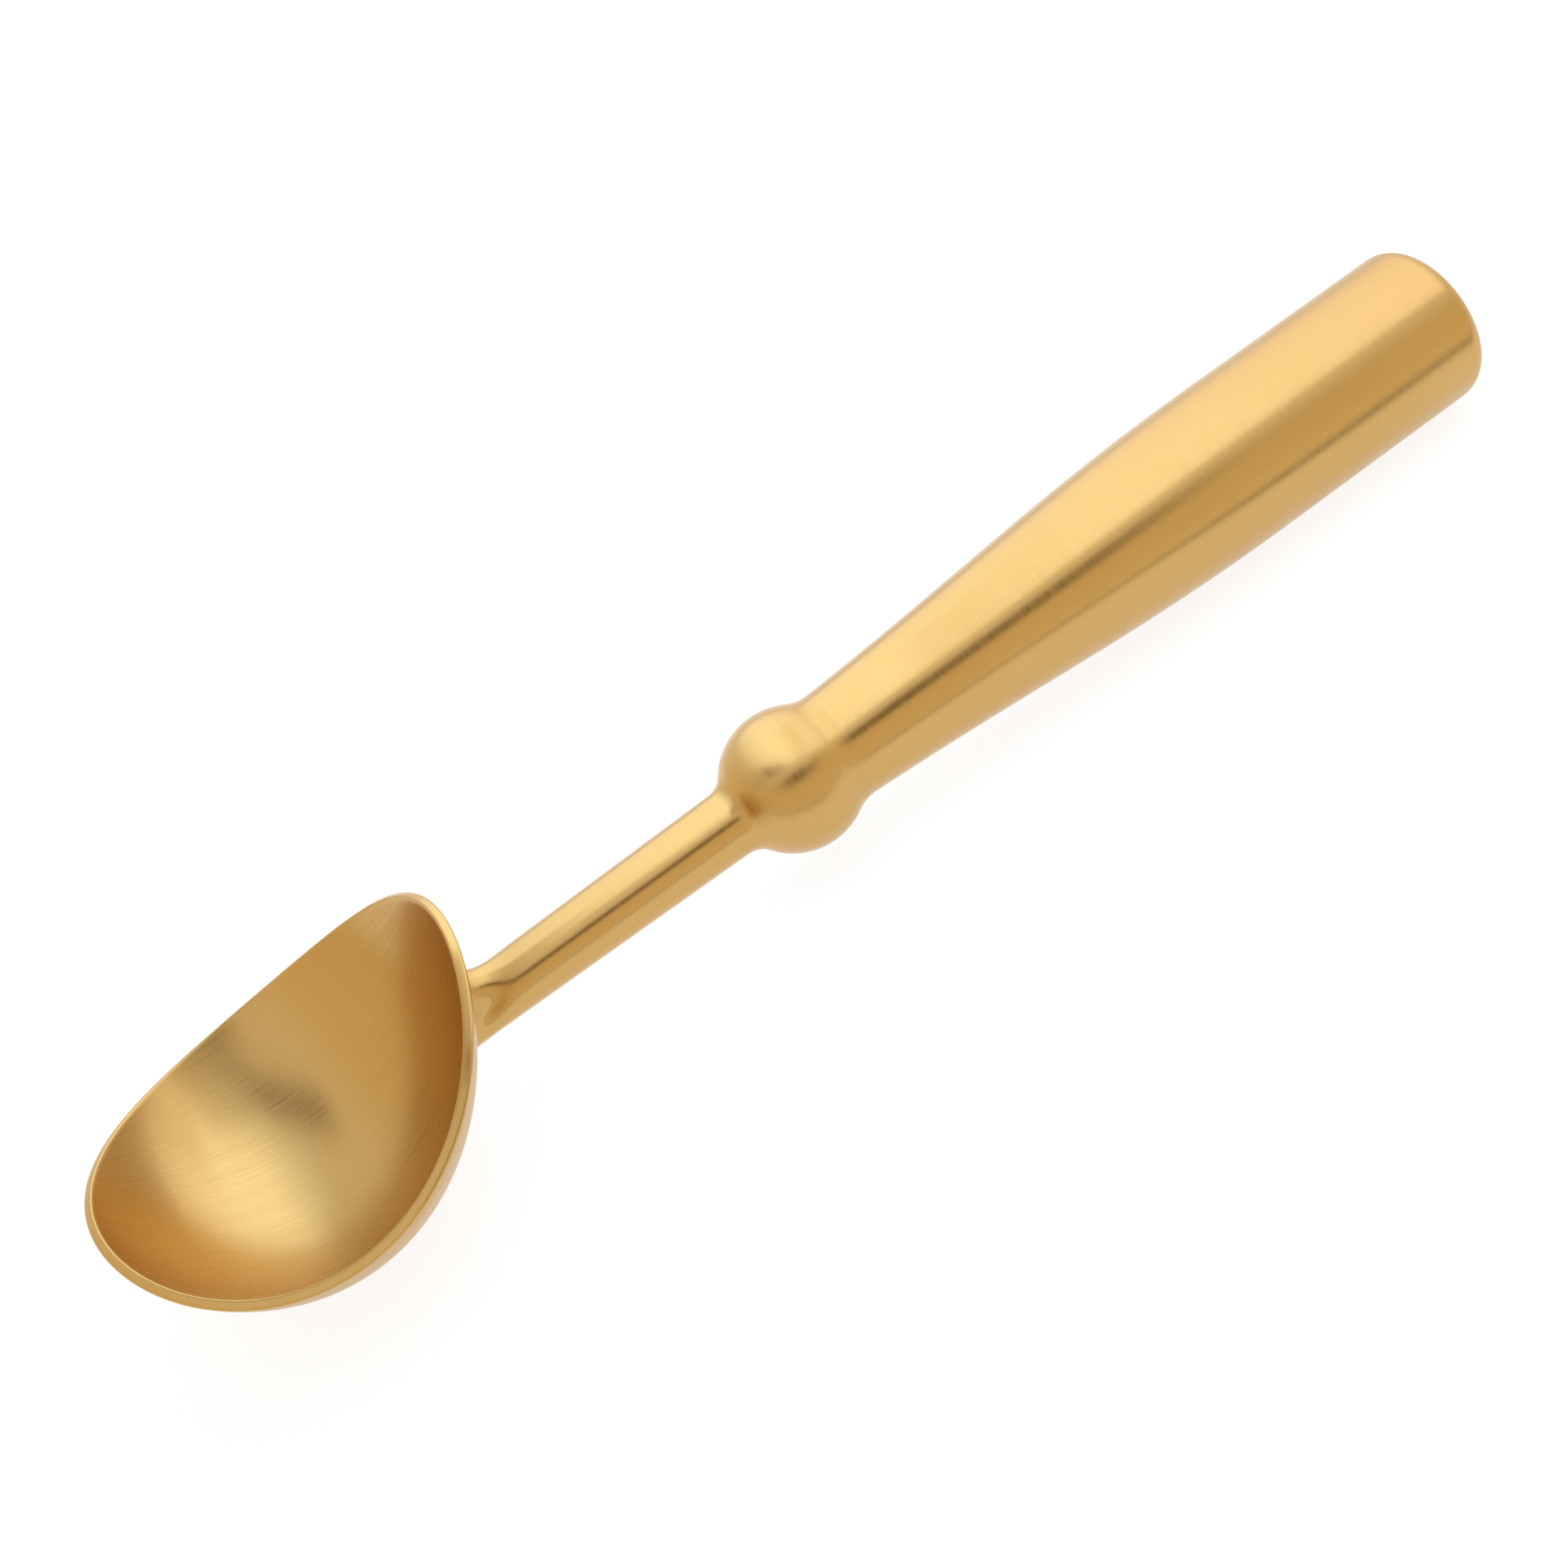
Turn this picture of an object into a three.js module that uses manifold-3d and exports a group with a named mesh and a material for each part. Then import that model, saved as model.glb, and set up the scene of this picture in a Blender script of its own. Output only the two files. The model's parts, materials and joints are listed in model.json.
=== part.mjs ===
// Ice cream scoop: a round drawn bowl on a slim neck, a ball collar and a hollow tapered handle.
// Millimetres, +Z up. The pieces are drawn along the handle's axis, with the ball's centre at zero,
// the butt towards +X and the bowl towards -X, open upwards. At the end the whole scoop is tipped
// by about a degree, so that it lies on the belly of its bowl and on its butt.

import * as THREE from 'three';
import { LoftGeometry } from 'three/addons/geometries/LoftGeometry.js';
import { mergeVertices } from 'three/addons/utils/BufferGeometryUtils.js';
import Module from 'manifold-3d';

// Bowl: part of an ellipsoid, with its rim cut to an arc that is lowest at the two sides
const BOWL_REACH = 69.3; // from the ball's centre to the ellipsoid's centre, along the handle
const BOWL_LENGTH_RADIUS = 27.55;
const BOWL_WIDTH_RADIUS = 32.5;
const BOWL_DEPTH_RADIUS = 36.3;
const BOWL_DROP = 13.2; // how far the belly hangs below the handle's axis
const BOWL_PITCH = THREE.MathUtils.degToRad(6.8); // the belly leans towards the front lip
const BOWL_WALL = 1.2;
const RIM_ARC_RADIUS = 42.9;
const RIM_LOW_HEIGHT = 1.0; // lowest part of the rim, above the handle's axis
const RIM_LOW_LEAD = 4.5; // that part lies this far in front of the ellipsoid's centre
const RIM_EDGE = 0.2; // broken edge on both sides of the rim

// Neck: a round rod with a flared foot on the bowl and a turned-down tang through the ball
const NECK_BOWL_RADIUS = 3.8;
const NECK_BALL_RADIUS = 4.25;
const FOOT_LENGTH = 7.0;
const FOOT_FLARE_TOP = 3.0;
const FOOT_FLARE_BOTTOM = 0.3;
const TANG_RADIUS = 2.5;
const TANG_CHAMFER = 0.5;
const TANG_BEYOND_NUT = 1.5;

// Ball collar between the neck and the handle
const BALL_RADIUS = 9.0;
const BALL_NECK_FILLET = 3.0;
const BALL_WAIST_FILLET = 6.0;
const BALL_SPIGOT_LENGTH = 2.5;

// Handle: a tube swaged to a taper, closed by a cap at the butt
const HANDLE_REACH = 102.7; // from the ball's centre to the flat of the butt
const HANDLE_RADIUS = 10.7;
const WAIST_RADIUS = 7.15;
const TAPER_END = 70.3; // from the ball's centre to where the straight grip begins
const TAPER_SLOPE = 0.05; // rise of the radius where the taper leaves the waist
const TAPER_LEAD = 26.3; // pull of the curve at the waist
const TAPER_RUNOUT = 24.5; // pull of the curve at the grip
const SLEEVE_WALL = 1.4;
const BUTT_ROUNDING = 2.6;
const CAP_BAND = 1.2; // straight band of the cap, up to its rounding
const CAP_SPIGOT_LENGTH = 4.0;
const CAP_SPIGOT_WALL = 1.3;
const CAP_THICKNESS = 1.6;

// Fastening inside the handle
const BUSH_LEAD = 1.0; // from the ball's spigot to the bush
const BUSH_LENGTH = 8.0;
const WASHER_BREADTH = 2.2;
const WASHER_THICKNESS = 1.0;
const SPRING_BREADTH = 1.7;
const SPRING_THICKNESS = 1.2;
const SPRING_SLIT = 1.2;
const NUT_ACROSS_FLATS = 8.0;
const NUT_HEIGHT = 4.0;
const NUT_CHAMFER = 0.5;

// Clearances
const SEAT_GAP = 0.3; // between two pieces that sit on each other
const TANG_GAP = 0.2; // around the tang, in everything that it passes through

// Facets
const BOWL_SPOKES = 72;
const BOWL_RINGS = 16;
const ROUND_SPOKES = 48;
const SMALL_SPOKES = 32;
const ARC_STEPS = 4; // half of the steps in a turned arc
const TAPER_STEPS = 14;
const SADDLE_RINGS = 3;
const FOOT_STEPS = 8;
const BUSH_STEPS = 6;
const HEX_SIDES = 6;
const WELD_DISTANCE = 1e-4; // corners closer than this are one corner

// Solver
const SOLVER_STEPS = 48;
const TIP_LIMIT = 0.3; // radians, far more than the scoop tips

const GOLD = { color: 0xcda25c, roughness: 0.34, metalness: 1.0 };
const STEEL = { color: 0xb4b6b8, roughness: 0.42, metalness: 1.0 };

const wasm = await Module();
wasm.setup();

// The ellipsoid's half height along the vertical, once it is leaned over
const bowlHalfHeight = Math.hypot(
  BOWL_LENGTH_RADIUS * Math.sin(BOWL_PITCH),
  BOWL_DEPTH_RADIUS * Math.cos(BOWL_PITCH),
);
const bowlCentre = new THREE.Vector3(-BOWL_REACH, 0, bowlHalfHeight - BOWL_DROP);

// Places along the axis, from the ball to the end of the tang
const ballFront = -Math.sqrt(
  (BALL_RADIUS + BALL_NECK_FILLET) ** 2 - (NECK_BALL_RADIUS + BALL_NECK_FILLET) ** 2,
);
const ballBack = Math.sqrt(
  (BALL_RADIUS + BALL_WAIST_FILLET) ** 2 - (WAIST_RADIUS + BALL_WAIST_FILLET) ** 2,
);
const neckEnd = ballFront - SEAT_GAP;
const sleeveStart = ballBack + SEAT_GAP;
const spigotEnd = ballBack + BALL_SPIGOT_LENGTH;
const bushStart = spigotEnd + BUSH_LEAD;
const bushEnd = bushStart + BUSH_LENGTH;
const washerStart = bushEnd + SEAT_GAP;
const springStart = washerStart + WASHER_THICKNESS + SEAT_GAP;
const nutStart = springStart + SPRING_THICKNESS + SEAT_GAP;
const tangEnd = nutStart + NUT_HEIGHT + TANG_BEYOND_NUT;
const boreRadius = TANG_RADIUS + TANG_GAP;

// Places at the butt
const roundingStart = HANDLE_REACH - BUTT_ROUNDING;
const capStart = roundingStart - CAP_BAND;
const sleeveEnd = capStart - SEAT_GAP;

// Finds where a rising function passes zero
function solveRising(rising, low, high) {
  for (let step = 0; step < SOLVER_STEPS; step += 1) {
    const middle = (low + high) / 2;
    if (rising(middle) < 0) low = middle;
    else high = middle;
  }
  return (low + high) / 2;
}

// A point of the bowl's outside: the spoke's angle is zero at the neck, the polar angle at the belly
function bowlPoint(spoke, polar, inset) {
  const out = new THREE.Vector3(
    Math.sin(polar) * Math.cos(spoke),
    Math.sin(polar) * Math.sin(spoke),
    -Math.cos(polar),
  );
  const radii = new THREE.Vector3(BOWL_LENGTH_RADIUS, BOWL_WIDTH_RADIUS, BOWL_DEPTH_RADIUS);
  const normal = out.clone().divide(radii).normalize();
  const point = out.multiply(radii).addScaledVector(normal, -inset);
  return point.applyAxisAngle(new THREE.Vector3(0, 1, 0), BOWL_PITCH).add(bowlCentre);
}

// Height of the rim's arc above a place along the handle
function rimHeight(x) {
  const ahead = x + BOWL_REACH + RIM_LOW_LEAD;
  const reach = Math.min(Math.abs(ahead), RIM_ARC_RADIUS);
  return RIM_LOW_HEIGHT + RIM_ARC_RADIUS - Math.sqrt(RIM_ARC_RADIUS ** 2 - reach ** 2);
}

// Polar angle at which a spoke of the bowl meets the rim's arc
function rimPolar(spoke) {
  const aboveRim = (polar) => {
    const point = bowlPoint(spoke, polar, 0);
    return point.z - rimHeight(point.x);
  };
  return solveRising(aboveRim, 0, Math.PI / 2 + BOWL_PITCH);
}

// Where the back of the bowl, with the seat's gap, is met by a line along the handle
function bowlBack(y, z) {
  const length = BOWL_LENGTH_RADIUS + SEAT_GAP;
  const width = BOWL_WIDTH_RADIUS + SEAT_GAP;
  const depth = BOWL_DEPTH_RADIUS + SEAT_GAP;
  const cos = Math.cos(BOWL_PITCH);
  const sin = Math.sin(BOWL_PITCH);
  const rise = z - bowlCentre.z;
  const square = (cos / length) ** 2 + (sin / depth) ** 2;
  const linear = rise * sin * cos * (1 / depth ** 2 - 1 / length ** 2);
  const rest = ((rise * sin) / length) ** 2 + ((rise * cos) / depth) ** 2 + (y / width) ** 2 - 1;
  return bowlCentre.x + (-linear + Math.sqrt(linear ** 2 - square * rest)) / square;
}

// The handle's tapering outline, moved in towards the axis by an inset
function taperCurve(inset) {
  const waist = WAIST_RADIUS - inset;
  const grip = HANDLE_RADIUS - inset;
  return new THREE.CubicBezierCurve(
    new THREE.Vector2(waist, sleeveStart),
    new THREE.Vector2(waist + TAPER_LEAD * TAPER_SLOPE, sleeveStart + TAPER_LEAD),
    new THREE.Vector2(grip, TAPER_END - TAPER_RUNOUT),
    new THREE.Vector2(grip, TAPER_END),
  );
}

// Radius of the taper at a place along the handle
function taperRadius(x, inset) {
  const curve = taperCurve(inset);
  const share = solveRising((t) => curve.getPoint(t).y - x, 0, 1);
  return curve.getPoint(share).x;
}

// Turns a profile of (radius, place along the axis) about the handle's axis
function revolve(profile, spokes, steps) {
  const geometry = new THREE.LatheGeometry(profile.getPoints(steps), spokes);
  return geometry.rotateZ(-Math.PI / 2);
}

// A ring around the handle's axis, with its radius and place given for each angle
function ringAround(place, radius) {
  const ring = [];
  for (let spoke = 0; spoke < SMALL_SPOKES; spoke += 1) {
    const angle = (spoke / SMALL_SPOKES) * 2 * Math.PI;
    const y = radius(angle) * Math.cos(angle);
    const z = radius(angle) * Math.sin(angle);
    ring.push(new THREE.Vector3(place(y, z), y, z));
  }
  return ring;
}

// A flat outline in the plane across the handle, drawn out along the handle
function extrudeAlong(shape, start, length) {
  const geometry = new THREE.ExtrudeGeometry(shape, {
    depth: length,
    bevelEnabled: false,
    curveSegments: SMALL_SPOKES / 2,
  });
  return geometry.rotateY(Math.PI / 2).translate(start, 0, 0);
}

function toSolid(geometry) {
  const bare = geometry.clone();
  bare.deleteAttribute('normal');
  bare.deleteAttribute('uv');
  const merged = mergeVertices(bare, WELD_DISTANCE);
  const mesh = new wasm.Mesh({
    numProp: 3,
    vertProperties: merged.attributes.position.array,
    triVerts: new Uint32Array(merged.index.array),
  });
  return new wasm.Manifold(mesh);
}

function fromSolid(solid) {
  const mesh = solid.getMesh();
  const geometry = new THREE.BufferGeometry();
  geometry.setAttribute('position', new THREE.BufferAttribute(mesh.vertProperties, 3));
  geometry.setIndex(new THREE.BufferAttribute(mesh.triVerts, 1));
  geometry.computeVertexNormals();
  return geometry;
}

function piece(name, geometry, finish) {
  const mesh = new THREE.Mesh(geometry, new THREE.MeshStandardMaterial(finish));
  mesh.name = name;
  return mesh;
}

// Drawn shell: rings climb the outside, cross the rim square to the wall, with both of its edges
// broken, and go down inside
function bowl() {
  const spokes = [];
  for (let spoke = 0; spoke < BOWL_SPOKES; spoke += 1) {
    const angle = (spoke / BOWL_SPOKES) * 2 * Math.PI;
    spokes.push({ angle, rim: rimPolar(angle) });
  }
  const ring = (share, inset) => spokes.map((s) => bowlPoint(s.angle, s.rim * share, inset));
  const wallTop = 1 - RIM_EDGE / (BOWL_LENGTH_RADIUS * rimPolar(0));
  const outside = [];
  const inside = [];
  for (let step = 0; step <= BOWL_RINGS; step += 1) {
    const share = (step / BOWL_RINGS) * wallTop;
    outside.push(ring(share, 0));
    inside.unshift(ring(share, BOWL_WALL));
  }
  const rim = [ring(1, RIM_EDGE), ring(1, BOWL_WALL - RIM_EDGE)];
  return piece('bowl', new LoftGeometry([...outside, ...rim, ...inside]), GOLD);
}

// Rod: a saddle face on the bowl, a flare that is fuller above than below, the taper, then the tang
function neckRod() {
  const flare = (angle) => {
    const upward = (1 + Math.sin(angle)) / 2;
    return THREE.MathUtils.lerp(FOOT_FLARE_BOTTOM, FOOT_FLARE_TOP, upward);
  };
  const footRadius = (angle) => NECK_BOWL_RADIUS + flare(angle);
  const sections = [];
  for (let ring = 0; ring < SADDLE_RINGS; ring += 1) {
    sections.push(ringAround(bowlBack, (angle) => (ring / SADDLE_RINGS) * footRadius(angle)));
  }
  for (let step = 0; step <= FOOT_STEPS; step += 1) {
    const turn = ((step / FOOT_STEPS) * Math.PI) / 2;
    const along = FOOT_LENGTH * (1 - Math.cos(turn));
    const place = (y, z) => bowlBack(y, z) + along;
    sections.push(ringAround(place, (angle) => NECK_BOWL_RADIUS + flare(angle) * (1 - Math.sin(turn))));
  }
  sections.push(ringAround(() => neckEnd, () => NECK_BALL_RADIUS));
  sections.push(ringAround(() => neckEnd, () => TANG_RADIUS));
  sections.push(ringAround(() => tangEnd - TANG_CHAMFER, () => TANG_RADIUS));
  sections.push(ringAround(() => tangEnd, () => TANG_RADIUS - TANG_CHAMFER));
  return piece('neck_rod', new LoftGeometry(sections, { capEnd: true }), GOLD);
}

// Turned ball, filleted down to the neck and to the waist, with a spigot that centres the handle
function ballCollar() {
  const neckTurn = Math.atan2(ballFront, NECK_BALL_RADIUS + BALL_NECK_FILLET);
  const waistTurn = Math.atan2(ballBack, WAIST_RADIUS + BALL_WAIST_FILLET);
  const spigotRadius = WAIST_RADIUS - SLEEVE_WALL - SEAT_GAP;
  const profile = new THREE.Path();
  profile.moveTo(boreRadius, ballFront);
  profile.lineTo(NECK_BALL_RADIUS, ballFront);
  profile.absarc(
    NECK_BALL_RADIUS + BALL_NECK_FILLET,
    ballFront,
    BALL_NECK_FILLET,
    Math.PI,
    neckTurn + Math.PI,
    true,
  );
  profile.absarc(0, 0, BALL_RADIUS, neckTurn, waistTurn, false);
  profile.absarc(
    WAIST_RADIUS + BALL_WAIST_FILLET,
    ballBack,
    BALL_WAIST_FILLET,
    waistTurn + Math.PI,
    Math.PI,
    true,
  );
  profile.lineTo(spigotRadius, ballBack);
  profile.lineTo(spigotRadius, spigotEnd);
  profile.lineTo(boreRadius, spigotEnd);
  profile.closePath();
  return piece('ball_collar', revolve(profile, ROUND_SPOKES, ARC_STEPS), GOLD);
}

// Tube of even wall, swaged down to the waist and open at both ends
function handleSleeve() {
  const outside = taperCurve(0);
  const inside = taperCurve(SLEEVE_WALL);
  const profile = new THREE.Path();
  profile.moveTo(...outside.v0);
  profile.bezierCurveTo(...outside.v1, ...outside.v2, ...outside.v3);
  profile.lineTo(HANDLE_RADIUS, sleeveEnd);
  profile.lineTo(HANDLE_RADIUS - SLEEVE_WALL, sleeveEnd);
  profile.lineTo(...inside.v3);
  profile.bezierCurveTo(...inside.v2, ...inside.v1, ...inside.v0);
  profile.closePath();
  return piece('handle_sleeve', revolve(profile, ROUND_SPOKES, TAPER_STEPS), GOLD);
}

// Tapered bush that the nut draws into the narrowing end of the handle
function taperBush() {
  const profile = new THREE.Path();
  profile.moveTo(boreRadius, bushStart);
  for (let step = 0; step <= BUSH_STEPS; step += 1) {
    const x = THREE.MathUtils.lerp(bushStart, bushEnd, step / BUSH_STEPS);
    profile.lineTo(taperRadius(x, SLEEVE_WALL) - SEAT_GAP, x);
  }
  profile.lineTo(boreRadius, bushEnd);
  profile.closePath();
  return piece('taper_bush', revolve(profile, SMALL_SPOKES, ARC_STEPS), STEEL);
}

function flatWasher() {
  const disc = new THREE.Shape();
  disc.absarc(0, 0, boreRadius + WASHER_BREADTH, 0, 2 * Math.PI, false);
  const hole = new THREE.Path();
  hole.absarc(0, 0, boreRadius, 0, 2 * Math.PI, false);
  disc.holes.push(hole);
  return piece('flat_washer', extrudeAlong(disc, washerStart, WASHER_THICKNESS), STEEL);
}

// Split ring, open by a slit on its underside
function springWasher() {
  const outer = boreRadius + SPRING_BREADTH;
  const half = Math.asin(SPRING_SLIT / 2 / boreRadius);
  const ring = new THREE.Shape();
  ring.absarc(0, 0, outer, half, 2 * Math.PI - half, false);
  ring.absarc(0, 0, boreRadius, 2 * Math.PI - half, half, true);
  ring.closePath();
  return piece('spring_washer', extrudeAlong(ring, springStart, SPRING_THICKNESS), STEEL);
}

// Hexagon nut with the corners of both faces chamfered
function hexNut() {
  const corner = NUT_ACROSS_FLATS / 2 / Math.cos(Math.PI / HEX_SIDES);
  const corners = [];
  for (let side = 0; side < HEX_SIDES; side += 1) {
    const angle = (side / HEX_SIDES) * 2 * Math.PI;
    corners.push(new THREE.Vector2(corner * Math.cos(angle), corner * Math.sin(angle)));
  }
  const hexagon = new THREE.Shape(corners);
  const prism = new THREE.ExtrudeGeometry(hexagon, { depth: NUT_HEIGHT, bevelEnabled: false });
  prism.rotateY(Math.PI / 2).translate(nutStart, 0, 0);
  const turned = new THREE.Path();
  turned.moveTo(boreRadius, nutStart);
  turned.lineTo(corner - NUT_CHAMFER, nutStart);
  turned.lineTo(corner, nutStart + NUT_CHAMFER);
  turned.lineTo(corner, nutStart + NUT_HEIGHT - NUT_CHAMFER);
  turned.lineTo(corner - NUT_CHAMFER, nutStart + NUT_HEIGHT);
  turned.lineTo(boreRadius, nutStart + NUT_HEIGHT);
  turned.closePath();
  const nut = toSolid(prism).intersect(toSolid(revolve(turned, SMALL_SPOKES, ARC_STEPS)));
  return piece('hex_nut', fromSolid(nut), STEEL);
}

// Pressed cup: flat end, rounded edge and a spigot that fits in the handle
function buttCap() {
  const spigotRadius = HANDLE_RADIUS - SLEEVE_WALL - SEAT_GAP;
  const innerRadius = spigotRadius - CAP_SPIGOT_WALL;
  const innerFace = HANDLE_REACH - CAP_THICKNESS;
  const spigotStart = capStart - CAP_SPIGOT_LENGTH;
  const profile = new THREE.Path();
  profile.moveTo(0, innerFace);
  profile.lineTo(innerRadius, innerFace);
  profile.lineTo(innerRadius, spigotStart);
  profile.lineTo(spigotRadius, spigotStart);
  profile.lineTo(spigotRadius, capStart);
  profile.lineTo(HANDLE_RADIUS, capStart);
  profile.lineTo(HANDLE_RADIUS, roundingStart);
  profile.absarc(HANDLE_RADIUS - BUTT_ROUNDING, roundingStart, BUTT_ROUNDING, 0, Math.PI / 2, false);
  profile.lineTo(0, HANDLE_REACH);
  return piece('butt_cap', revolve(profile, ROUND_SPOKES, ARC_STEPS), GOLD);
}

// Tip at which the belly of the bowl and the edge of the butt reach equally far down
function restTip() {
  const buttLead = (tip) => {
    const along = Math.sin(tip);
    const down = Math.cos(tip);
    const belly = Math.hypot(
      BOWL_LENGTH_RADIUS * (along * Math.cos(BOWL_PITCH) + down * Math.sin(BOWL_PITCH)),
      BOWL_DEPTH_RADIUS * (down * Math.cos(BOWL_PITCH) - along * Math.sin(BOWL_PITCH)),
    );
    const bowlReach = bowlCentre.x * along - bowlCentre.z * down + belly;
    const buttReach = roundingStart * along + (HANDLE_RADIUS - BUTT_ROUNDING) * down + BUTT_ROUNDING;
    return buttReach - bowlReach;
  };
  return solveRising(buttLead, -TIP_LIMIT, TIP_LIMIT);
}

const scoop = new THREE.Group();
scoop.add(bowl());
scoop.add(neckRod());
scoop.add(ballCollar());
scoop.add(handleSleeve());
scoop.add(taperBush());
scoop.add(flatWasher());
scoop.add(springWasher());
scoop.add(hexNut());
scoop.add(buttCap());
scoop.rotation.y = restTip();

// The frame's origin is under the middle of the scoop, on the table
const part = new THREE.Group();
part.add(scoop);
const box = new THREE.Box3().setFromObject(part, true);
const middle = box.getCenter(new THREE.Vector3());
scoop.position.set(-middle.x, -middle.y, -box.min.z);

export default part;
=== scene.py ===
"""A satin gold ice cream scoop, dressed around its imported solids.

The bowl and the neck are modelled from the same formulas as the solids, only finer. The neck's foot
is a little slimmer than in its solid and has two dents, which are made here alone. The ball, the
handle and its cap are turned from their outlines by a Geometry Nodes tree. The fastening inside the
handle keeps its solids and gets a steel finish. Lengths are metres and +Z is up.
"""

import json
import math

import bmesh
import bpy
import numpy as np
from bpy.props import FloatProperty, FloatVectorProperty, IntProperty, PointerProperty
from mathutils import Matrix, Vector


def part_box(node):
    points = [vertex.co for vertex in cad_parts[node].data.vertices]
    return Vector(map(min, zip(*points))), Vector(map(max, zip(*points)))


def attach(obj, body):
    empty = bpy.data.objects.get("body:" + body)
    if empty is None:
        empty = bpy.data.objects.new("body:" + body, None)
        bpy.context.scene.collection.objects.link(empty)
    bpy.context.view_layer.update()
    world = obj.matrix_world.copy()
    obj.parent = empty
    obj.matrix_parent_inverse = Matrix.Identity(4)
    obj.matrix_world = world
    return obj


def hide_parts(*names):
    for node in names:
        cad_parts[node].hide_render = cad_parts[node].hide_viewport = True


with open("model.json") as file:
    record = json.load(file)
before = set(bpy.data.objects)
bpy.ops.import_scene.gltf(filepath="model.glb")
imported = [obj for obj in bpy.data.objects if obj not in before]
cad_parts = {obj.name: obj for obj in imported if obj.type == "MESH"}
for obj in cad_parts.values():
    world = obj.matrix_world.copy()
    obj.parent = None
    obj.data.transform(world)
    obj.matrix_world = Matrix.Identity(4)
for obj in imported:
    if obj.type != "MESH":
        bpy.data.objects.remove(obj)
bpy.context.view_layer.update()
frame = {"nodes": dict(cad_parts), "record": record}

bl_info = {
    "name": "Ice cream scoop",
    "version": (1, 0, 0),
    "blender": (4, 5, 0),
    "location": "View3D > Sidebar > Scoop",
    "description": "Makes a satin gold ice cream scoop and the studio that it is shown in",
    "category": "Add Mesh",
}

MM = 0.001

# The butt's flat face gives the handle's line: the pieces are drawn along it, from the ball's centre
BUTT_FACE = frame["record"]["mounts"][0]
BUTT_CENTRE = Vector(BUTT_FACE["pos_m"])
ALONG = Vector(BUTT_FACE["axis"]).normalized()
ACROSS = Vector((0.0, 1.0, 0.0))
UP = ALONG.cross(ACROSS)

FASTENING = ("taper_bush", "flat_washer", "spring_washer", "hex_nut")

# Meshes
SOLVER_STEPS = 48
SHARP_ANGLE = math.radians(32)
WELD = 1e-6
ROUNDING = 1e-6  # last digit of the butt's place
RIM_STEPS = 6  # faces along the rounding of one edge of the rim
RIM_SHARE = 0.6  # the rim's finish starts this share of that rounding below the rim's arc
RIM_RISE = 0.1  # and is on faces whose normal rises at least this much
SADDLE_RINGS, FOOT_RINGS, SHAFT_RINGS = 4, 24, 24

# Surfaces: range of roughness, strength of the relief, smear of a highlight across the brush lines
TURNED = ((0.26, 0.34), 0.12, 0.75)
BUFFED = ((0.27, 0.35), 0.12, 0.55)
DRAWN = ((0.24, 0.32), 0.30, 0.60)
GROUND = ((0.36, 0.50), 0.50)
STEEL_ROUGHNESS = (0.30, 0.50)
RADIUS_SHARE = 0.35  # how far a turned line climbs with the radius, which puts rings on the butt

# Noise textures: their fineness, and the range that nearly all of their values lie in
STROKES = {"Scale": 1.0, "Detail": 3.0, "Roughness": 0.6}
RINGS = {"Scale": 1.0, "Detail": 2.0, "Roughness": 0.5}
PATCHES = {"Detail": 2.0, "Roughness": 0.5}
GRAINS = {"Detail": 4.0, "Roughness": 0.65}
NOISE_RANGE = {"From Min": 0.3, "From Max": 0.7}

# Stage
WHITE = (1.0, 1.0, 1.0, 1.0)
WARM_ROOM = (("Y", 0.1, -0.5), ("Z", 0.65, 0.45), ("X", -0.3, -0.8))  # from neutral to warm
EDGE_SPAN = 40 * MM  # the table's edge is drawn over this much to both sides
# Between the two middle shares the floor is painted dark for the metal: painted shade standing for
# the shadow at the table's edge
WARM_END, PAINTED_SHADE_START, PAINTED_SHADE_END, PAPER_START = 0.32, 0.38, 0.53, 0.57  # shares of that drawing
CORNER_FLAG_ENDS = ((-0.26, 1.06), (0.7, 0.16))  # shares of the cut, from the softbox's full corner
DIVIDER_LEAN = 0.25  # share of the divider's drop that it leans by
DIVIDER_TAPER = 0.6  # reach of its lower edge behind the handle's line, as a share of the upper one
NEAREST_SEEN = 10 * MM


def length(name, description, millimetres):
    """A length that a user may change, given in millimetres and kept in metres."""
    return FloatProperty(
        name=name, description=description, default=millimetres * MM, unit="LENGTH", precision=5
    )


def angle(name, description, degrees):
    """An angle that a user may change, given in degrees and kept in radians."""
    return FloatProperty(
        name=name, description=description, default=math.radians(degrees), unit="ROTATION"
    )


def share(name, description, value, most=1.0):
    """A plain number from nought to a limit."""
    return FloatProperty(name=name, description=description, default=value, min=0.0, max=most)


def count(name, description, number, least):
    """A number of faces."""
    return IntProperty(name=name, description=description, default=number, min=least)


def linear(hex_code):
    """Turns an sRGB hex colour into linear red, green and blue."""
    parts = [int(hex_code[i:i + 2], 16) / 255 for i in (1, 3, 5)]
    return [p / 12.92 if p <= 0.04045 else ((p + 0.055) / 1.055) ** 2.4 for p in parts]


def colour(name, description, hex_code):
    """A colour that a user may change, given as sRGB hex and kept linear."""
    shade = linear(hex_code)
    return FloatVectorProperty(
        name=name, description=description, default=shade, subtype="COLOR", min=0.0, max=1.0
    )


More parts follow.
